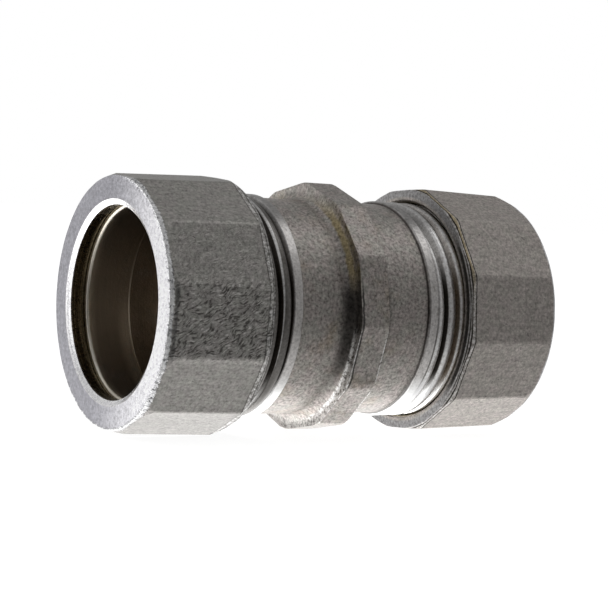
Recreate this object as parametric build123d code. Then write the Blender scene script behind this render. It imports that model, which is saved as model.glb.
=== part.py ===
from build123d import *
import math
import os

# Compression coupling for thin-wall steel conduit, 3/4 inch trade size, in millimetres.
# X runs along the conduit. The origin is the middle of the coupling, on its axis.
# The coupling lies on its side, on a corner of each nut.

# The conduit, and the room that each piece leaves round it
conduit_diameter = 23.42
socket_clearance = 0.24
ring_clearance = 0.14
lip_clearance = 0.34

# Coupling body
body_length = 44.3
body_wall = 1.9
stop_height = 1.35
stop_crest = 1.2
stop_flank = 1.0
thread_depth = 0.4
thread_pitch = 25.4 / 14
thread_lead_in = 0.4
land_width = 4.1
land_height = 2.4
land_edge = 0.25
flank_foot = 1.3
flank_height = 1.5
thread_from_land = 7.25
wrench_sides = 12

# Gland nut
nut_length = 14.1
nut_wall = 1.6
nut_draft = 1.5
nut_thread_clearance = 0.1
nut_countersink = 0.35
face_bevel_depth = 0.9
face_bevel_length = 2.4
rim_bevel_depth = 0.5
rim_bevel_length = 1.0
lip_thickness = 1.8
lip_bevel_width = 0.7
lip_bevel_depth = 0.4

# Compression ring
ring_length = 6.4
ring_end_wall = 0.6
ring_crown_wall = 1.25
ring_crown_width = 1.2
ring_split = 1.6
ring_edge = 0.12
seat_clearance = 0.1

# Room left between the screwed-together parts
ring_to_lip = 0.7
tightening_turns = 0.5
end_room = 0.5

# Turn of each part about X
left_nut_turn = 10.6
right_nut_turn = 10.8
land_turn = 3.6
left_split_turn = -70.0
right_split_turn = 25.0

# Radii, from the conduit outwards
conduit_radius = conduit_diameter / 2
socket_radius = conduit_radius + socket_clearance
ring_bore_radius = conduit_radius + ring_clearance
ring_end_radius = ring_bore_radius + ring_end_wall
ring_crown_radius = ring_bore_radius + ring_crown_wall
lip_radius = conduit_radius + lip_clearance
neck_radius = socket_radius + body_wall
thread_radius = neck_radius + thread_depth
land_corner_radius = neck_radius + land_height
thread_room = thread_radius + nut_thread_clearance
nut_corner_radius = (thread_room + nut_wall) / math.cos(math.pi / wrench_sides)

# The taper that the ring, the body's mouth and the nut's seat share
taper_length = (ring_length - ring_crown_width) / 2
taper_slope = (ring_crown_radius - ring_end_radius) / taper_length
seat_gap = seat_clearance / math.cos(math.atan(taper_slope))

# Places along X, from the end of the body outwards
tightening_travel = tightening_turns * thread_pitch
body_end = body_length / 2
thread_start = land_width / 2 + thread_from_land
seat_mouth = body_end + tightening_travel + end_room
ring_middle = seat_mouth - ring_crown_width / 2
ring_inner_end = ring_middle - ring_length / 2
lip_inner_face = ring_middle + ring_length / 2 + ring_to_lip
nut_face = lip_inner_face + lip_thickness
nut_rim = nut_face - nut_length


def turned(corners):
    """A solid turned about X from (x, radius) corners."""
    return revolve(make_face(Polyline(corners, close=True)), Axis.X, 360)


def both_ways(right, middle=()):
    """A symmetrical outline from the corners of its right half."""
    left = [(-x, radius) for x, radius in reversed(right)]
    return left + list(middle) + right


def twelve_sided(corner_radius, turn):
    """A flat outline square to X with a corner turned by an angle from the top."""
    return Plane.YZ * RegularPolygon(corner_radius, wrench_sides, rotation=turn)


def mouth_radius(x):
    """Radius of the body's tapered mouth, which the ring meets after its travel."""
    touch = ring_inner_end - tightening_travel
    return ring_end_radius + seat_gap + (x - touch) * taper_slope


def body_outline():
    """The body's outer half section, with a sloping flank at each side of the land."""
    side = land_width / 2
    right = [
        (side, land_corner_radius - land_edge),
        (side, neck_radius + flank_height),
        (side + flank_foot, neck_radius),
        (thread_start, neck_radius),
        (thread_start + thread_lead_in, thread_radius),
        (body_end - thread_lead_in, thread_radius),
        (body_end, thread_radius - thread_lead_in),
        (body_end, 0),
    ]
    crest = [
        (-side + land_edge, land_corner_radius),
        (side - land_edge, land_corner_radius),
    ]
    return both_ways(right, crest)


def body_bore():
    """The socket at each end, its tapered mouth and the stop in the middle."""
    crest = stop_crest / 2
    end_radius = mouth_radius(body_end)
    mouth_start = body_end - (end_radius - socket_radius) / taper_slope
    right = [
        (crest, socket_radius - stop_height),
        (crest + stop_flank, socket_radius),
        (mouth_start, socket_radius),
        (body_end, end_radius),
        (body_end, 0),
    ]
    return turned(both_ways(right))


def coupling_body():
    """One turned piece: two threaded sockets with a twelve-sided land between."""
    blank = turned(body_outline())
    flats = extrude(twelve_sided(land_corner_radius, land_turn), body_end, both=True)
    return (blank & flats) - body_bore()


def nut_outside():
    """A twelve-sided nut that narrows a little towards its face, its corners turned off."""
    rim_outline = Pos(X=nut_rim) * twelve_sided(nut_corner_radius, 0)
    prism = extrude(rim_outline, nut_length, taper=nut_draft)
    # Each bevel is a cone that starts on an end face and runs out past the corners.
    past = nut_corner_radius + face_bevel_depth
    face_radius = nut_corner_radius - face_bevel_depth
    rim_radius = nut_corner_radius - rim_bevel_depth
    face_run = (past - face_radius) * face_bevel_length / face_bevel_depth
    rim_run = (past - rim_radius) * rim_bevel_length / rim_bevel_depth
    envelope = turned(
        [
            (nut_rim, 0),
            (nut_rim, rim_radius),
            (nut_rim + rim_run, past),
            (nut_face - face_run, past),
            (nut_face, face_radius),
            (nut_face, 0),
        ]
    )
    return prism & envelope


def nut_inside():
    """Thread room, the taper that closes the ring, and the opening in the lip."""
    seat_radius = ring_crown_radius + seat_gap
    seat_end_radius = seat_radius - (lip_inner_face - seat_mouth) * taper_slope
    return turned(
        [
            (nut_rim, 0),
            (nut_rim, thread_room + nut_countersink),
            (nut_rim + nut_countersink, thread_room),
            (seat_mouth, thread_room),
            (seat_mouth, seat_radius),
            (lip_inner_face, seat_end_radius),
            (lip_inner_face, lip_radius),
            (nut_face - lip_bevel_depth, lip_radius),
            (nut_face, lip_radius + lip_bevel_width),
            (nut_face, 0),
        ]
    )


def compression_ring(split_turn):
    """A split ring with a taper at both ends, thickest at its crown."""
    end = ring_length / 2
    crown = ring_crown_width / 2
    section = both_ways(
        [
            (crown, ring_crown_radius),
            (end, ring_end_radius),
            (end, ring_bore_radius),
        ]
    )
    wall_middle = (ring_bore_radius + ring_crown_radius) / 2
    slot = Pos(Z=wall_middle) * Box(ring_length * 1.2, ring_split, ring_crown_wall * 2)
    ring = turned(section) - Rot(X=split_turn) * slot
    ring = chamfer(ring.edges().filter_by(Axis.X), ring_edge)
    return Pos(X=ring_middle) * ring


os.makedirs("parts", exist_ok=True)

pieces = {"coupling_body": coupling_body()}
nut = nut_outside() - nut_inside()
ends = {
    "left": (Rot(Z=180), left_nut_turn, left_split_turn),
    "right": (Rot(Z=0), right_nut_turn, right_split_turn),
}
for side, (facing, nut_turn, split_turn) in ends.items():
    pieces[f"{side}_gland_nut"] = facing * Rot(X=nut_turn) * nut
    pieces[f"{side}_compression_ring"] = facing * compression_ring(split_turn)

for name, piece in pieces.items():
    export_step(piece, f"parts/{name}.step")
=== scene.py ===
import math

import bpy
from mathutils import Matrix, Vector


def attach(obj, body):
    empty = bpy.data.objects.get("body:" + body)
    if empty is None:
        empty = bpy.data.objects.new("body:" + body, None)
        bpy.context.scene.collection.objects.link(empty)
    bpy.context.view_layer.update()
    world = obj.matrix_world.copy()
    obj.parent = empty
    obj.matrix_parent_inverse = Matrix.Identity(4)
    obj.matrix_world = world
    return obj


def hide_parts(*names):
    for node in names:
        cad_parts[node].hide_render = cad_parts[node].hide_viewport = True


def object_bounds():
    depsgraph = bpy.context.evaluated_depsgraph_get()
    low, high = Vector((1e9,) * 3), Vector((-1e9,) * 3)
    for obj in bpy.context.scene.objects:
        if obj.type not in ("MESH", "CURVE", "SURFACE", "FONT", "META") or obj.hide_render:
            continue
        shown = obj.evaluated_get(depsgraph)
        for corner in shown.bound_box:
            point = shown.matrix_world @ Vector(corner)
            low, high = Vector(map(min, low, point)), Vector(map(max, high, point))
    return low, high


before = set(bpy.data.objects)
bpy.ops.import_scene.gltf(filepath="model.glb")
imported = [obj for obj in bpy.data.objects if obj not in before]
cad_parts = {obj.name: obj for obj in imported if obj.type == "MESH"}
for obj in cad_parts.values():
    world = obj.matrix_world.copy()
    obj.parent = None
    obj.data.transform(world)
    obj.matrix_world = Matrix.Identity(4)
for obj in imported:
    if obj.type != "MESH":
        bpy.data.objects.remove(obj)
solids_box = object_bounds()

# Compression coupling for thin-wall conduit, lying on its side. X runs along the conduit.
# The pieces are shaped in millimetres and brought to metres when they are done.
millimetre = 0.001

# Coupling body, as in the solids
body_end = 22.15
mouth_start = 16.44
mouth_radius = 13.378
socket_radius = 11.95
stop_radius = 10.6
stop_crest = 1.2
stop_flank = 1.0
neck_radius = 13.85
land_side = 2.05
land_corner_radius = 16.25
land_edge = 0.25
land_turn = math.radians(3.6)
# Rounded where the solids are plain
cove_radius = 1.5
land_easing = 0.55

# Threads, which the solids have as plain cylinders
thread_radius = 14.25
thread_start = 9.3
thread_pitch = 25.4 / 14
thread_flank = math.radians(30)
thread_root = 13.45
thread_crossing = 10.71
left_thread_turn = math.radians(63)
body_thread_crest = thread_radius - 0.012
body_thread_tip = 0.45
body_thread_turns = 5.85
nut_thread_crest = 13.75
nut_thread_tip = 0.08
nut_thread_first_turn = 2.25
nut_thread_turns = 4.0
# How deep a ridge sits in its wall, and the part of a turn in which each end fades out
thread_sinking = 0.15
fade_turns = 1 / 6

# Gland nut, as in the solids but for its eased corners
nut_rim = 14.56
nut_face = 28.65
nut_corner_radius = 16.513
nut_draft = math.radians(1.5)
thread_room = 14.35
nut_countersink = 0.35
seat_mouth = 23.55
seat_radius = 13.203
seat_end_radius = 12.378
lip_inner_face = 26.85
lip_radius = 12.05
lip_bevel_width = 0.7
lip_bevel_depth = 0.4
face_bevel_depth = 0.9
face_bevel_length = 2.4
rim_bevel_depth = 0.5
rim_bevel_length = 1.0
left_nut_turn = math.radians(10.6)
right_nut_turn = math.radians(10.8)
nut_easing = 0.25

# Compression ring, as in the solids but for its rounded bore edges
ring_middle = 22.957
ring_length = 6.4
ring_crown_width = 1.2
ring_bore_radius = 11.85
ring_end_radius = 12.45
ring_crown_radius = 13.1
ring_split = 1.6
ring_edge = 0.45
left_split_turn = math.radians(-70)
right_split_turn = math.radians(25)

wrench_sides = 12
round_steps = 144
smooth_angle = math.radians(24)

# Points nearer than this are merged, more freely after a cut.
weld = 0.001
weld_after_cut = 0.002
# A bar's end that has to clear a face stands past it by this.
hair = 0.001


# ---- Shaping ----


def begin(name, primitive, **settings):
    """Adds a primitive on its own, selected, with its place in its mesh."""
    bpy.ops.object.select_all(action="DESELECT")
    primitive(**settings)
    piece = bpy.context.object
    piece.name = name
    bpy.ops.object.transform_apply(location=True, rotation=True, scale=True)
    return piece


def pick(*pieces):
    """Selects these pieces alone; the first one is active."""
    bpy.ops.object.select_all(action="DESELECT")
    for piece in pieces:
        piece.select_set(True)
    bpy.context.view_layer.objects.active = pieces[0]


def editing(on):
    bpy.ops.object.mode_set(mode="EDIT" if on else "OBJECT")


def apply_modifier(piece, kind, **settings):
    pick(piece)
    bpy.ops.object.modifier_add(type=kind)
    modifier = piece.modifiers[-1]
    for key, value in settings.items():
        setattr(modifier, key, value)
    bpy.ops.object.modifier_apply(modifier=modifier.name)


def turn_about(piece, angle, axis):
    """Turns a piece about the middle of the coupling and keeps the turn in its mesh."""
    piece.matrix_world = Matrix.Rotation(angle, 4, axis) @ piece.matrix_world
    pick(piece)
    bpy.ops.object.transform_apply(location=True, rotation=True, scale=True)


def to_left_end(piece, turn=0.0):
    """Turns a piece of the right end about X and then takes it round to the left end."""
    turn_about(piece, turn, "X")
    turn_about(piece, math.pi, "Z")


def copy_of(piece, name):
    """A copy with a mesh of its own."""
    pick(piece)
    bpy.ops.object.duplicate(linked=False)
    copied = bpy.context.object
    copied.name = name
    return copied


def join(piece, *others):
    pick(piece, *others)
    bpy.ops.object.join()
    return piece


def trace(name, corners):
    """Draws a closed section from (x, radius) corners, pulled out edge by edge from one point."""
    places = [Vector((x, 0.0, radius)) for x, radius in corners]
    piece = begin(name, bpy.ops.mesh.primitive_plane_add, size=0.01, location=places[0])
    editing(True)
    bpy.ops.mesh.select_mode(type="VERT")
    bpy.ops.mesh.select_all(action="SELECT")
    bpy.ops.mesh.merge(type="CENTER")
    for before, after in zip(places, places[1:] + places[:1]):
        bpy.ops.mesh.extrude_region_move(TRANSFORM_OT_translate={"value": after - before})
    bpy.ops.mesh.select_all(action="SELECT")
    bpy.ops.mesh.remove_doubles(threshold=weld)
    editing(False)
    return piece


def turned(name, corners):
    """Turns a closed section about X."""
    piece = trace(name, corners)
    editing(True)
    bpy.ops.mesh.select_all(action="SELECT")
    bpy.ops.mesh.spin(steps=round_steps, angle=2 * math.pi, center=(0, 0, 0), axis=(1, 0, 0))
    bpy.ops.mesh.select_all(action="SELECT")
    bpy.ops.mesh.remove_doubles(threshold=weld)
    bpy.ops.mesh.normals_make_consistent(inside=False)
    editing(False)
    return piece


def both_ways(right):
    """A symmetrical section from the corners of its right half, outside first."""
    left = [(-x, radius) for x, radius in reversed(right)]
    return right + left


def rounded_corner(radius, degrees):
    """The points of a rounded corner, each as its cosine and sine lengths from the centre."""
    angles = [math.radians(angle) for angle in degrees]
    return [(radius * math.cos(a), radius * math.sin(a)) for a in angles]


def narrow_far_end(piece, beyond, factor):
    """Draws in the end of a bar that lies past a place along X."""
    mesh = piece.data
    for vertex in mesh.vertices:
        vertex.select = vertex.co.x > beyond
    for item in [*mesh.edges, *mesh.polygons]:
        item.select = all(mesh.vertices[i].select for i in item.vertices)
    editing(True)
    bpy.ops.transform.resize(value=(1, factor, factor), center_override=(0, 0, 0))
    editing(False)


def wrench_prism(name, corner_radius, start, length, turn, easing, narrowing=0.0):
    """A twelve-sided bar along X, narrower at its far end, with its long edges eased."""
    middle = start + length / 2
    piece = begin(
        name,
        bpy.ops.mesh.primitive_cylinder_add,
        vertices=wrench_sides,
        radius=corner_radius,
        depth=length,
        location=(middle, 0, 0),
        rotation=(0, math.pi / 2, 0),
    )
    mesh = piece.data
    editing(True)
    bpy.ops.mesh.select_mode(type="EDGE")
    bpy.ops.mesh.select_all(action="DESELECT")
    editing(False)
    for item in mesh.edges:
        ends = [mesh.vertices[i].co.x for i in item.vertices]
        item.select = abs(ends[0] - ends[1]) > length / 2
    editing(True)
    bpy.ops.mesh.bevel(offset=easing, segments=3, affect="EDGES", profile=0.5)
    editing(False)
    if narrowing:
        flat_radius = corner_radius * math.cos(math.pi / wrench_sides)
        narrow_far_end(piece, middle, 1 - length * math.tan(narrowing) / flat_radius)
    turn_about(piece, turn, "X")
    return piece


def shaped_by(piece, tool, operation):
    """Keeps what both shapes share, or cuts the tool away."""
    apply_modifier(piece, "BOOLEAN", operation=operation, object=tool, solver="EXACT")
    bpy.data.objects.remove(tool)
    pick(piece)
    editing(True)
    bpy.ops.mesh.select_all(action="SELECT")
    bpy.ops.mesh.remove_doubles(threshold=weld_after_cut)
    editing(False)
    return piece


# ---- Pieces ----

cove = [
    (land_side + cove_radius - along, neck_radius + cove_radius - out)
    for along, out in rounded_corner(cove_radius, range(0, 91, 10))
]
# The plain band that the thread starts from, along X from its foot
thread_band = [
    (0.0, neck_radius),
    (0.22, thread_radius - 0.06),
    (0.3, thread_radius),
    (1.38, thread_radius),
    (1.46, thread_radius - 0.06),
    (1.85, thread_root),
]
# The wall at the mouth stands a little above the roots, so that the ridge ends in it.
mouth_wall = thread_root + 0.15
body_right = [
    (land_side - land_edge, land_corner_radius),
    (land_side, land_corner_radius - land_edge),
    *cove,
    *[(thread_start + x, radius) for x, radius in thread_band],
    (body_end - 1.5, thread_root),
    (body_end - 1.2, mouth_wall),
    (body_end, mouth_wall),
    (body_end, mouth_radius),
    (mouth_start, socket_radius),
    (stop_crest / 2 + stop_flank, socket_radius),
    (stop_crest / 2, stop_radius),
]


def fade_thread_ends(ridge, top_crossing, first_turn, turns, inside):
    """Draws both ends of a ridge in to the radius inside, over the last part of a turn."""
    # The share of its height that is left at the very end, so that no face there is empty
    least_share = 0.04
    for vertex in ridge.data.vertices:
        angle = math.atan2(-vertex.co.y, vertex.co.z) / (2 * math.pi)
        along = (vertex.co.x - top_crossing) / thread_pitch
        turn = angle + round(along - angle)
        from_end = min(turn - first_turn, first_turn + turns - turn)
        share = max(least_share, min(1.0, from_end / fade_turns))
        radius = math.hypot(vertex.co.y, vertex.co.z)
        wanted = inside + (radius - inside) * share
        vertex.co.y *= wanted / radius
        vertex.co.z *= wanted / radius


def thread(name, top_crossing, first_turn, turns, crest, root, tip):
    """A right-hand helical ridge about X, its two ends sunk into the wall that carries it.

    Its middle crosses the top of the coupling at top_crossing, and it starts first_turn later.
    Its crest is rounded over twice the tip, and its flanks lean by thread_flank.
    """
    depth = crest - root
    # Just under half a pitch, so that one turn of the ridge doesn't touch the next
    widest = thread_pitch * 0.49
    half_width = min(tip + abs(depth) * math.tan(thread_flank), widest)
    inside = root - math.copysign(thread_sinking, depth)
    # From the foot up to the crest: how far from the middle, and how far below the crest
    flank = [
        ((half_width + tip) / 2, 0.5),
        (tip + 0.08, 0.16),
        (tip * 0.75, 0.05),
        (tip * 0.35, 0.01),
    ]
    rise = [(half_width, inside), (half_width, root)]
    rise += [(x, crest - depth * below) for x, below in flank]
    section = [(-x, radius) for x, radius in rise] + [(0.0, crest)] + rise[::-1]
    start = top_crossing + thread_pitch * first_turn
    ridge = trace(name, [(start + x, radius) for x, radius in section])
    turn_about(ridge, 2 * math.pi * first_turn, "X")
    steps = round(round_steps * turns)
    apply_modifier(
        ridge, "SCREW",
        axis="X", angle=2 * math.pi * turns, screw_offset=thread_pitch * turns,
        steps=steps, render_steps=steps, use_merge_vertices=False,
    )
    fade_thread_ends(ridge, top_crossing, first_turn, turns, inside)
    editing(True)
    bpy.ops.mesh.select_mode(type="VERT")
    bpy.ops.mesh.select_all(action="DESELECT")
    bpy.ops.mesh.select_non_manifold()
    bpy.ops.mesh.fill_holes(sides=0)
    bpy.ops.mesh.select_all(action="SELECT")
    bpy.ops.mesh.normals_make_consistent(inside=False)
    editing(False)
    return ridge


def coupling_body():
    """The turned body with its twelve-sided land and a thread at each end."""
    body = turned("coupling_body_blank", both_ways(body_right))
    bar_end = body_end + 1
    bar = wrench_prism(
        "land_flats", land_corner_radius,
        start=-bar_end, length=2 * bar_end, turn=land_turn, easing=land_easing,
    )
    shaped_by(body, bar, "INTERSECT")
    right = thread(
        "right_thread", thread_crossing, first_turn=0.0, turns=body_thread_turns,
        crest=body_thread_crest, root=thread_root, tip=body_thread_tip,
    )
    left = copy_of(right, "left_thread")
    to_left_end(left, left_thread_turn)
    return join(body, right, left)


def gland_nut():
    """The right nut without its thread, with a corner on top."""
    past = nut_corner_radius + face_bevel_depth
    face_radius = nut_corner_radius - face_bevel_depth
    face_run = 2 * face_bevel_length
    rim_radius = nut_corner_radius - rim_bevel_depth
    rim_run = (past - rim_radius) * rim_bevel_length / rim_bevel_depth
    nut = turned(
        "gland_nut",
        [
            (nut_rim, rim_radius),
            (nut_rim + rim_run, past),
            (nut_face - face_run, past),
            (nut_face, face_radius),
            (nut_face, lip_radius + lip_bevel_width),
            (nut_face - lip_bevel_depth, lip_radius),
            (lip_inner_face, lip_radius),
            (lip_inner_face, seat_end_radius),
            (seat_mouth, seat_radius),
            (seat_mouth, thread_room),
            (nut_rim + nut_countersink, thread_room),
            (nut_rim, thread_room + nut_countersink),
        ],
    )
    bar = wrench_prism(
        "nut_flats", nut_corner_radius,
        start=nut_rim, length=nut_face - nut_rim + hair, turn=0.0, easing=nut_easing,
        narrowing=nut_draft,
    )
    return shaped_by(nut, bar, "INTERSECT")


def nut_thread():
    """The ridge inside the right nut, midway between two turns of the body's."""
    return thread(
        "nut_thread", thread_crossing + thread_pitch / 2,
        first_turn=nut_thread_first_turn, turns=nut_thread_turns,
        crest=nut_thread_crest, root=thread_room, tip=nut_thread_tip,
    )


def compression_ring(name, split_turn):
    """The right split ring, tapered at both ends, with the edges of its bore rounded."""
    end = ring_length / 2
    crown = ring_crown_width / 2
    bore_edge = [
        (end - ring_edge + along, ring_bore_radius + ring_edge - out)
        for out, along in rounded_corner(ring_edge, range(90, -1, -18))
    ]
    section = both_ways([(crown, ring_crown_radius), (end, ring_end_radius), *bore_edge])
    ring = turned(name, [(ring_middle + x, radius) for x, radius in section])
    slot_height = 4.0
    slot = begin(
        "split",
        bpy.ops.mesh.primitive_cube_add,
        size=1.0,
        scale=(ring_length * 1.2, ring_split, slot_height),
        location=(ring_middle, 0, (ring_bore_radius + ring_crown_radius) / 2),
    )
    turn_about(slot, split_turn, "X")
    return shaped_by(ring, slot, "DIFFERENCE")


body = coupling_body()
nut = gland_nut()
left_nut = copy_of(nut, "left_gland_nut_piece")
turn_about(nut, right_nut_turn, "X")
to_left_end(left_nut, left_nut_turn)

inner = nut_thread()
left_inner = copy_of(inner, "left_nut_thread")
to_left_end(left_inner, left_thread_turn)
join(nut, inner)
join(left_nut, left_inner)

right_ring = compression_ring("right_ring_piece", right_split_turn)
left_ring = compression_ring("left_ring_piece", left_split_turn)
to_left_end(left_ring)


# ---- Finishes ----


class Value:
    """A socket of a finish. Sums with it are written as sums and add their Math nodes."""

    def __init__(self, finish, socket):
        self.finish = finish
        self.socket = socket

    def sum(self, operation, *terms):
        inputs = dict(enumerate(terms))
        return self.finish.add("ShaderNodeMath", {"operation": operation}, inputs)

    def __add__(self, other):
        return self.sum("ADD", self, other)

    def __radd__(self, other):
        return self.sum("ADD", other, self)

    def __sub__(self, other):
        return self.sum("SUBTRACT", self, other)

    def __rsub__(self, other):
        return self.sum("SUBTRACT", other, self)

    def __mul__(self, other):
        return self.sum("MULTIPLY", self, other)

    def __rmul__(self, other):
        return self.sum("MULTIPLY", other, self)

    def __truediv__(self, other):
        return self.sum("DIVIDE", self, other)

    def __pow__(self, other):
        return self.sum("POWER", self, other)

    def __abs__(self):
        return self.sum("ABSOLUTE", self)


class Finish:
    """The nodes of one material or of the world."""

    def __init__(self, owner):
        owner.use_nodes = True
        self.owner = owner
        self.tree = owner.node_tree
        self.tree.nodes.clear()

    def add(self, kind, settings=None, inputs=None, output=0):
        """Adds a node: its settings first, then the values or links of its sockets."""
        node = self.tree.nodes.new(kind)
        for key, value in (settings or {}).items():
            setattr(node, key, value)
        for key, value in (inputs or {}).items():
            if isinstance(value, Value):
                self.tree.links.new(value.socket, node.inputs[key])
            else:
                node.inputs[key].default_value = value
        return Value(self, node.outputs[output]) if node.outputs else None

    def smooth(self, value, start, end, low=0.0, high=1.0):
        """Goes smoothly from low to high while the value goes from start to end."""
        inputs = {"Value": value, "From Min": start, "From Max": end, "To Min": low, "To Max": high}
        return self.add("ShaderNodeMapRange", {"interpolation_type": "SMOOTHSTEP"}, inputs)

    def line(self, value, middle, half_width):
        """One where the value is at the middle, falling to nothing at both sides."""
        return self.smooth(abs(value - middle), half_width, half_width * 0.3)

    def noise(self, place, scale, detail, roughness):
        inputs = {"Vector": place, "Scale": scale, "Detail": detail, "Roughness": roughness}
        return self.add("ShaderNodeTexNoise", {"noise_dimensions": "3D"}, inputs)

    def blend(self, share, first, second):
        """A colour between two colours."""
        inputs = {0: share, 6: first, 7: second}
        return self.add("ShaderNodeMix", {"data_type": "RGBA"}, inputs, output=2)

    def coats(self, base, *layers):
        """Lays colours over a base one after another, each by its share."""
        for share, over in layers:
            base = self.blend(share, base, over)
        return base

    def mottle(self, base, grain, amount):
        """Lightens and darkens a colour by the grain."""
        inputs = {0: base, "Scale": 1 + (grain - 0.5) * amount}
        return self.add("ShaderNodeVectorMath", {"operation": "SCALE"}, inputs)

    def split(self, vector):
        node = self.add("ShaderNodeSeparateXYZ", {}, {0: vector}).socket.node
        return [Value(self, socket) for socket in node.outputs]

    def vector(self, x, y, z):
        return self.add("ShaderNodeCombineXYZ", {}, {0: x, 1: y, 2: z})


def colour(red, green, blue):
    return (red, green, blue, 1.0)


def toned(shade, red, green, blue):
    """A colour with its red, green and blue made weaker."""
    return colour(shade[0] * red, shade[1] * green, shade[2] * blue)


class Steel(Finish):
    """A steel finish, with places on the piece in millimetres."""

    def __init__(self, name):
        super().__init__(bpy.data.materials.new(name))
        metres = self.add("ShaderNodeTexCoord", output="Object")
        self.place = self.add(
            "ShaderNodeVectorMath", {"operation": "SCALE"}, {0: metres, "Scale": 1 / millimetre}
        )
        self.x, self.y, self.z = self.split(self.place)
        self.out = abs(self.x)
        self.radius = (self.y * self.y + self.z * self.z) ** 0.5
        # Lines that a turning tool leaves run round X and wander a little on the way.
        around_y = self.y / self.radius
        around_z = self.z / self.radius
        self.rings = self.vector(self.x * 9.0 + self.radius * 7.0, around_y * 1.3, around_z * 1.3)
        self.fine_rings = self.vector(
            self.x * 31.0 + self.radius * 27.0, around_y * 2.5, around_z * 2.5
        )

    def dress(self, base, roughness, height, depth):
        """Ends the finish as bare metal, with a bump of this depth where the height is one."""
        bump = self.add(
            "ShaderNodeBump", {},
            {"Height": height, "Distance": depth * millimetre, "Strength": 1.0},
        )
        shader = self.add(
            "ShaderNodeBsdfPrincipled", {},
            {"Base Color": base, "Roughness": roughness, "Metallic": 1.0, "Normal": bump},
        )
        self.add("ShaderNodeOutputMaterial", {}, {"Surface": shader})
        return self.owner


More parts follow.
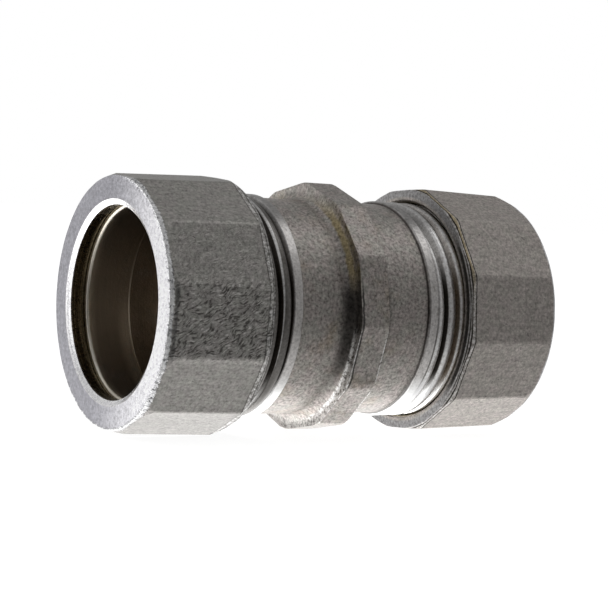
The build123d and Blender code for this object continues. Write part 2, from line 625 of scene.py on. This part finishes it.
def nut_steel(name, light, dark, wrinkled, burr_and_painted_light, gilt, satin):
    """Dull plated steel: grainy, blotched and pitted, with turning lines in the darker bore.

    wrinkled is how strongly the flats at the front are wrinkled, in relief and in painted shade
    and highlight. The next argument is how rough and chipped the edge round the face is, and how
    strongly the painted highlight on that edge, the painted shade behind it and the painted shade
    on the underside of the flats are laid. gilt is the golden tint on the rim, and satin adds
    roughness.
    """
    f = Steel(name)
    blotch = f.noise(f.place, 0.25, 4.0, 0.6)
    cloud = f.noise(f.place, 1.1, 3.0, 0.55)
    grain = f.noise(f.place, 2.6, 3.0, 0.7)
    tint = f.noise(f.place, 0.7, 3.0, 0.6)
    speck = f.noise(f.place, 1.3, 2.0, 0.5)
    bend = f.noise(f.place, 0.45, 1.0, 0.5)
    slant = f.vector((f.x + f.z) * 1.1, f.y * 0.6, (f.z - f.x * 0.7) * 4.2 + bend * 9.0)
    wrinkle = f.noise(slant, 1.0, 3.0, 0.55)
    brushed = f.noise(f.vector(f.x * 0.35, f.y * 3.0, f.z * 3.0), 1.0, 2.0, 0.6)
    turning = f.noise(f.fine_rings, 0.35, 2.0, 0.6)
    flecks = f.smooth(f.noise(f.place, 2.1, 2.0, 0.6), 0.55, 0.63)

    # Where the face, the bore and the flats are
    opening_edge = lip_radius + lip_bevel_width
    face = f.smooth(f.out, nut_face - 0.3, nut_face - 0.1)
    on_face = face * f.smooth(f.radius, opening_edge - 0.07, opening_edge + 0.07)
    in_bore = f.smooth(f.radius, thread_room + nut_countersink, thread_room - 0.05)
    bore = in_bore * (1 - on_face)
    polished = bore * f.smooth(f.out, nut_face - 0.65, nut_face - 0.35)
    flats = (1 - face) * (1 - bore)
    holes = f.smooth(speck, 0.70, 0.74) * flats

    # The wrinkled flat at mid-height, and the weaker wrinkles above it: a real bump, with their
    # dark strokes painted shade and their light strokes painted highlight
    front = f.smooth(f.y, -8.0, -11.0)
    deep = f.smooth(f.z, -6.2, -5.0) * f.smooth(f.z, 4.4, 2.6)
    upper = f.smooth(f.z, 2.6, 4.4) * f.smooth(f.z, 14.0, 8.0)
    wrinkle_relief_and_shade = front * flats * (deep + upper * 0.35) * wrinkled

    # The burr round the face, a real rough edge with a painted highlight on its near side and at
    # the bottom, the chipped edge behind it, painted shade behind that and on the underside of the
    # flats, and the face painted pale on its near side and darker on its far side
    near = f.smooth(f.y, 1.0, -6.0)
    edge = f.smooth(f.out + grain * 0.5, nut_face - 0.35, nut_face - 0.15)
    edge = edge * f.smooth(f.radius + grain * 0.9, 15.8, 16.05)
    edge = edge * burr_and_painted_light * (near + (1 - near) * f.smooth(f.z, -8.0, -13.0))
    chipped = f.smooth(f.radius, 14.9, 15.5) * f.smooth(f.out, nut_face - 0.75, nut_face - 0.55)
    chipped = flecks * (chipped * near * burr_and_painted_light)
    shade = f.line(f.out + cloud * 0.5, nut_face - 0.65, 0.35) * flats * burr_and_painted_light * deep
    underside_painted_shade = f.smooth(f.z, -11.0, -13.5) * flats * burr_and_painted_light
    painted_light_side = f.smooth(f.y + f.z * 0.1, 3.0, -13.0)

    # The rim: its end face, with painted shade deepest at mid-height and a painted glint at its
    # outer edge there, its bevel and the dark lines on both sides of the bevel
    rim = f.smooth(f.radius, 14.9, 15.2)
    waver = (tint - 0.5) * 0.5
    rim_lines = f.line(f.out + waver * 0.4, nut_rim + 0.32, 0.15)
    rim_lines = rim_lines + f.line(f.out + waver * 0.5, nut_rim + 0.9, 0.12)
    rim_lines = f.smooth(rim_lines, 0.0, 1.0) * rim * (0.55 + gilt * 0.4)
    rim_face = f.smooth(f.out, nut_rim + 0.19, nut_rim + 0.04) * rim
    deep_painted_rim_shade = rim_face * f.smooth(abs(f.z), 12.0, 8.0)
    light_painted_rim_shade = rim_face * f.smooth(abs(f.z), 8.0, 12.0)
    glint = deep_painted_rim_shade * f.line(f.radius, 15.8, 0.2)
    bevel = f.smooth(f.out, nut_rim + 0.94, nut_rim + 0.84) * rim
    gold = f.line(f.out, nut_rim + 0.54, 0.3) * f.smooth(f.z, 2.0, 7.0) * rim * gilt

    # The face, painted pale on its near side and darker on its far side
    face_colour_with_painted_light = f.blend(painted_light_side, colour(0.42, 0.415, 0.45), colour(0.98, 0.97, 1.0))
    bore_colour = f.blend(
        f.smooth(turning, 0.45, 0.7), colour(0.16, 0.13, 0.08), colour(0.60, 0.52, 0.36)
    )
    base = f.coats(
        f.blend(blotch, dark, light),
        (f.smooth(tint, 0.4, 0.6) * 0.35, toned(light, 0.84, 0.91, 0.85)),
        # Painted shade and painted highlight on the wrinkles
        (f.smooth(wrinkle, 0.50, 0.36) * wrinkle_relief_and_shade * 0.8, colour(0.06, 0.055, 0.05)),
        (f.smooth(wrinkle, 0.56, 0.68) * wrinkle_relief_and_shade * 0.55, colour(0.75, 0.73, 0.71)),
        (holes * 0.6, colour(0.10, 0.09, 0.09)),
        (face, face_colour_with_painted_light),
        # Painted shade behind the burr
        (shade * 0.6, colour(0.08, 0.08, 0.08)),
        # The burr's painted highlight
        (edge, colour(0.95, 0.95, 0.96)),
        (chipped * 0.75, colour(0.20, 0.20, 0.21)),
        # Painted shade on the underside of the flats
        (underside_painted_shade * 0.6, colour(0.24, 0.23, 0.22)),
        (bevel * f.smooth(grain, 0.4, 0.6) * 0.6, colour(0.80, 0.79, 0.78)),
        (gold * 0.75, colour(0.46, 0.37, 0.20)),
        # Painted shade on the rim's end face, and a painted glint at its edge
        (deep_painted_rim_shade * 0.95, colour(0.05, 0.045, 0.04)),
        (light_painted_rim_shade * 0.7, colour(0.31, 0.31, 0.32)),
        (glint * 0.8, colour(0.80, 0.79, 0.78)),
        (rim_lines, colour(0.03, 0.025, 0.02)),
        (bore, bore_colour),
        (polished, colour(0.95, 0.94, 0.96)),
    )
    base = f.mottle(base, grain, 1.9 - face * 0.3)
    base = f.mottle(base, brushed, flats * 0.5)

    roughness = 0.36 + satin + cloud * 0.08 + grain * 0.08 - bore * 0.16
    height = (
        grain * 0.5 + cloud * 0.16 + face * grain * 0.5 + wrinkle * wrinkle_relief_and_shade * 2.6
        - holes * 0.5 + edge * grain * 1.6 - chipped * 1.2 + turning * bore * 0.3
    )
    return f.dress(base, roughness, height, 0.07)


def turned_steel(name, light, stain, painted_bore_shade):
    """Turned and plated steel: fine lines round the piece, grain, and a brownish stain in places.

    The coves beside the land are golden above and nearly black at mid-height with painted shade.
    The last argument is how dark a ring's bore is painted as shade between its ends, which stay
    bright as painted light, the inner one only low down.
    """
    f = Steel(name)
    blotch = f.noise(f.place, 0.25, 4.0, 0.6)
    grain = f.noise(f.place, 2.6, 3.0, 0.7)
    cloud = f.noise(f.place, 1.3, 3.0, 0.5)
    tint = f.noise(f.place, 0.7, 3.0, 0.6)
    rings = f.noise(f.rings, 1.0, 3.0, 0.6)
    fine = f.noise(f.fine_rings, 1.0, 2.0, 0.6)

    outside = f.smooth(f.radius, 13.4, 13.7)
    bore = 1 - outside
    left_side = f.smooth(f.x, 0.0, -0.2)
    wandering = f.out + (tint - 0.5) * 0.5

    # Beside the land: gold above, painted shade at mid-height, a painted dark reflection along
    # the land's edge on the left, and a painted highlight on the land's edge low down
    in_cove = f.smooth(f.out, 4.1, 2.9) * f.smooth(f.out, 2.0, 2.1) * outside
    painted_cove_shade = in_cove * f.smooth(f.z, 6.0, 2.0) * f.smooth(f.z + cloud * 3.0, -8.5, -3.5)
    gold = f.line(wandering, 2.35, 0.45) * f.smooth(f.z, 2.0, 6.0) * outside * left_side
    gold = gold * f.smooth(f.z, 15.0, 11.0)
    painted_edge_reflection = f.line(wandering, 1.8, 0.19) * outside * left_side
    painted_edge_reflection = painted_edge_reflection * f.smooth(f.z + tint * 3.0, 7.0, 4.0) * f.smooth(f.z + tint * 2.0, -10.0, -7.0)
    crest = f.line(f.out, 2.08, 0.22) * f.smooth(grain, 0.34, 0.5) * outside
    crest = crest * f.smooth(f.z, -1.0, -4.0) * f.smooth(f.z, -15.0, -11.0, 0.3, 1.0)

    # A ring's ends, the inner one only low down, kept bright as painted light amid the painted
    # shade in its bore
    painted_lit_ends = f.smooth(f.out, 24.7, 25.9) + f.smooth(f.out, 22.2, 20.6) * f.smooth(f.z, 2.0, -7.0)
    stained = f.smooth(blotch + bore * 0.35, 0.5, 0.85)

    base = f.coats(
        f.blend(cloud, toned(light, 0.88, 0.86, 0.85), light),
        (f.smooth(tint, 0.4, 0.6) * 0.45, toned(light, 0.82, 0.92, 0.86)),
        (stained * 0.6, stain),
        # Painted shade in a ring's bore
        ((1 - painted_lit_ends) * painted_bore_shade, colour(0.30, 0.25, 0.20)),
        # Painted shade in the coves
        (painted_cove_shade * 0.9, colour(0.055, 0.05, 0.045)),
        (gold * 0.8, colour(0.34, 0.27, 0.13)),
        # Painted dark reflection along the land's edge
        (painted_edge_reflection * 0.85, colour(0.03, 0.03, 0.03)),
        # Painted highlight on the land's edge
        (crest * 0.85, colour(0.90, 0.89, 0.87)),
    )
    base = f.mottle(base, grain, outside * 2.8)
    base = f.mottle(base, fine, 0.5)
    roughness = 0.36 + rings * 0.08 + grain * 0.08 - bore * 0.06
    height = rings * 0.22 + fine * 0.16 + grain * 0.8 + cloud * 0.2
    return f.dress(base, roughness, height, 0.045)


def thread_steel(name):
    """Bright cut thread: polished crests, painted shade in the roots, and cutting marks along
    the ridge.
    """
    f = Steel(name)
    cloud = f.noise(f.place, 1.0, 3.0, 0.5)
    marks = f.noise(f.fine_rings, 1.0, 2.0, 0.6)
    grain = f.noise(f.place, 3.0, 2.0, 0.6)
    smear = f.noise(f.vector(f.x * 0.9, f.y * 0.35, f.z * 0.35), 1.0, 3.0, 0.6)
    waver = (cloud - 0.5) * 0.1

    # A painted highlight on the lower part, painted shade on the top, painted shade in the roots
    # at mid-height, and painted shade over the left thread.
    painted_lower_shine = f.smooth(f.z, -7.0, -10.5)
    top = f.smooth(f.z, 10.0, 12.0)
    root = f.smooth(f.radius, 14.18, 14.0) * f.smooth(f.out, 10.6, 10.75)
    root = root * (1 - painted_lower_shine) * (1 - f.smooth(f.z, 3.0, 8.0) * 0.7)
    shaded = f.smooth(f.x, -10.8, -11.1) * (1 - f.line(f.out, 12.3, 0.25))
    # The plain band, a dark line of painted shade at its foot, and a line of painted shade
    # before the first crest
    band = f.smooth(f.out, 10.9, 10.6)
    foot = f.line(f.out + waver, thread_start + 0.06, 0.14)
    painted_groove_shade = f.line(f.x + waver, 10.84, 0.2) * f.smooth(f.z, 0.0, -3.5, 0.45, 0.8)
    painted_groove_shade = painted_groove_shade * (1 - painted_lower_shine)

    # Painted shade in the grooves: nearly black in the first and brown in the next ones.
    root_shade_colour = f.blend(
        f.smooth(f.out, 12.8, 13.0), colour(0.06, 0.05, 0.04), colour(0.34, 0.28, 0.22)
    )
    base = f.coats(
        f.blend(cloud, colour(0.90, 0.88, 0.86), colour(1.0, 0.99, 0.98)),
        (band * 0.6, colour(0.52, 0.49, 0.47)),
        (f.smooth(smear, 0.57, 0.70) * (1 - painted_lower_shine) * 0.45, colour(0.16, 0.14, 0.12)),
        # Painted shade on the top
        (top * 0.5, colour(0.10, 0.10, 0.10)),
        # Painted highlight on the lower part
        (painted_lower_shine, colour(1.0, 1.0, 0.99)),
        # Painted shade in the roots
        (root * 0.95, root_shade_colour),
        (shaded * 0.85, colour(0.07, 0.06, 0.05)),
        # Painted shade at the band's foot
        (foot * 0.85, colour(0.05, 0.04, 0.035)),
        # Painted shade before the first crest
        (painted_groove_shade, colour(0.10, 0.09, 0.08)),
    )
    base = f.mottle(base, grain, 1.2 - painted_lower_shine * 0.9)
    roughness = 0.24 + marks * 0.14 + root * 0.15
    height = marks * 0.4 + cloud * 0.5 + grain * 0.3
    return f.dress(base, roughness, height, 0.03)


def finished(piece, name, node, body, slot, *materials):
    """Smooths a piece, keeps its flats flat, brings it to metres and gives it its finish.

    It then stands on its body in place of the solid.
    """
    pick(piece)
    bpy.ops.object.shade_smooth_by_angle(angle=smooth_angle)
    apply_modifier(piece, "WEIGHTED_NORMAL", keep_sharp=True, weight=80)
    piece.name = name
    piece.scale = (millimetre, millimetre, millimetre)
    pick(piece)
    bpy.ops.object.transform_apply(location=True, rotation=True, scale=True)
    for material in materials:
        piece.data.materials.append(material)
    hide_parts(node)
    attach(piece, body)


left_nut_steel = nut_steel(
    "left_nut_steel", colour(0.44, 0.42, 0.40), colour(0.35, 0.33, 0.315),
    wrinkled=1.0, burr_and_painted_light=1.0, gilt=0.0, satin=0.0,
)
right_nut_steel = nut_steel(
    "right_nut_steel", colour(0.55, 0.505, 0.48), colour(0.47, 0.43, 0.405),
    wrinkled=0.04, burr_and_painted_light=0.0, gilt=1.0, satin=0.14,
)
body_steel = turned_steel(
    "body_steel", colour(0.46, 0.42, 0.40), stain=colour(0.38, 0.30, 0.21), painted_bore_shade=0.0
)
ring_steel = turned_steel(
    "ring_steel", colour(0.97, 0.94, 0.90), stain=colour(0.86, 0.76, 0.62), painted_bore_shade=0.7
)
bright_thread = thread_steel("bright_thread")

finished(body, "body_piece", "coupling_body", "body", "body_steel", body_steel, bright_thread)
for face in body.data.polygons:
    middle = face.center / millimetre
    if abs(middle.x) > thread_start and middle.yz.length > thread_root - 0.03:
        face.material_index = 1

finished(nut, "right_nut_piece", "right_gland_nut", "right_nut", "nut_steel", right_nut_steel)
finished(left_nut, "left_nut_piece", "left_gland_nut", "left_nut", "nut_steel", left_nut_steel)
finished(
    right_ring, "right_ring_piece", "right_compression_ring", "right_ring",
    "ring_steel", ring_steel,
)
finished(
    left_ring, "left_ring_piece", "left_compression_ring", "left_ring",
    "ring_steel", ring_steel,
)


# ---- Camera, floor and light ----

yaw = math.radians(32.107)
roll = math.radians(-1.323)
lean = math.radians(3.56)
distance = 0.24649
# How far the camera stands off the line through the middle of the coupling
shift_left = 0.0004795
shift_up = 0.0003631
right = Vector((math.cos(yaw), -math.sin(yaw) * math.cos(lean), math.sin(yaw) * math.sin(lean)))
up = Vector((0, math.sin(lean), math.cos(lean)))
back = right.cross(up)
rolled_right = math.cos(roll) * right - math.sin(roll) * up
rolled_up = math.sin(roll) * right + math.cos(roll) * up

bpy.ops.object.camera_add()
camera = bpy.context.object
camera.name = "camera"
turn = Matrix((rolled_right, rolled_up, back)).transposed().to_4x4()
place = back * distance - rolled_right * shift_left + rolled_up * shift_up
camera.matrix_world = Matrix.Translation(place) @ turn
camera.data.sensor_width = 36
camera.data.lens = 111.81
camera.data.clip_start = 0.01
bpy.context.scene.camera = camera

scene = bpy.context.scene
scene.view_settings.view_transform = "Standard"
world = bpy.data.worlds.new("studio")
scene.world = world

# A pale room: bright below and at the back, dim on the camera's side and dimmest on its left,
# with a bright window at the far left. The camera itself sees plain white.
room = Finish(world)
way = room.add("ShaderNodeTexCoord", output="Generated")
way_x, way_y, way_z = room.split(way)
front = (0.19 + room.smooth(way_x, 0.45, 0.7) * 0.12) * room.smooth(way_x, -0.15, -0.7, 1.0, 0.3)
front = front + room.smooth(way_z, 0.3, 0.85) * 0.15 + room.smooth(way_z, -0.25, -0.9) * 0.42
rear = 0.72 - room.smooth(way_z, 0.1, 0.6) * 0.24 + room.smooth(way_z, 0.0, -0.4) * 0.85
rear = rear - room.smooth(way_x, 0.0, 0.6) * 0.18
rear = rear + room.smooth(way_z, -0.35, -0.6) * room.smooth(way_y, 0.2, 0.5) * 1.15
window = room.smooth(way_x, -0.84, -0.97) * room.smooth(way_y, -0.35, -0.05) * 0.8
level = front + (rear - front) * room.smooth(way_y, -0.15, 0.35) + window
white = colour(1.0, 1.0, 1.0)
lit = room.add("ShaderNodeBackground", {}, {"Color": white, "Strength": level})
seen = room.add("ShaderNodeBackground", {}, {"Color": white, "Strength": 1.0})
camera_ray = room.add("ShaderNodeLightPath", output="Is Camera Ray")
either = room.add("ShaderNodeMixShader", {}, {0: camera_ray, 1: lit, 2: seen})
room.add("ShaderNodeOutputWorld", {}, {"Surface": either})

# A soft lamp above, a little to the right and to the front
lamp_way = Vector((0.51, -0.15, 0.85)).normalized()
lamp_distance = 0.6
bpy.ops.object.light_add(type="AREA")
lamp = bpy.context.object
lamp.name = "overhead_lamp"
lamp.data.shape = "DISK"
lamp.data.size = 0.35
lamp.data.energy = 0.16
lamp_turn = lamp_way.to_track_quat("Z", "Y").to_matrix().to_4x4()
lamp.matrix_world = Matrix.Translation(lamp_way * lamp_distance) @ lamp_turn

# The floor shows the shadow but neither tints the object nor shows in it.
just_below = solids_box[0].z - 0.00002
floor = begin("floor", bpy.ops.mesh.primitive_plane_add, size=6.0, location=(0, 0, just_below))
table = Finish(bpy.data.materials.new("pale_table"))
paint = table.add("ShaderNodeBsdfDiffuse", {}, {"Color": colour(0.5, 0.5, 0.5)})
camera_ray = table.add("ShaderNodeLightPath", output="Is Camera Ray")
glow = table.add("ShaderNodeEmission", {}, {"Color": white, "Strength": camera_ray * 0.9})
painted = table.add("ShaderNodeAddShader", {}, {0: paint, 1: glow})
table.add("ShaderNodeOutputMaterial", {}, {"Surface": painted})
floor.data.materials.append(table.owner)
floor.visible_glossy = False
floor.visible_diffuse = False
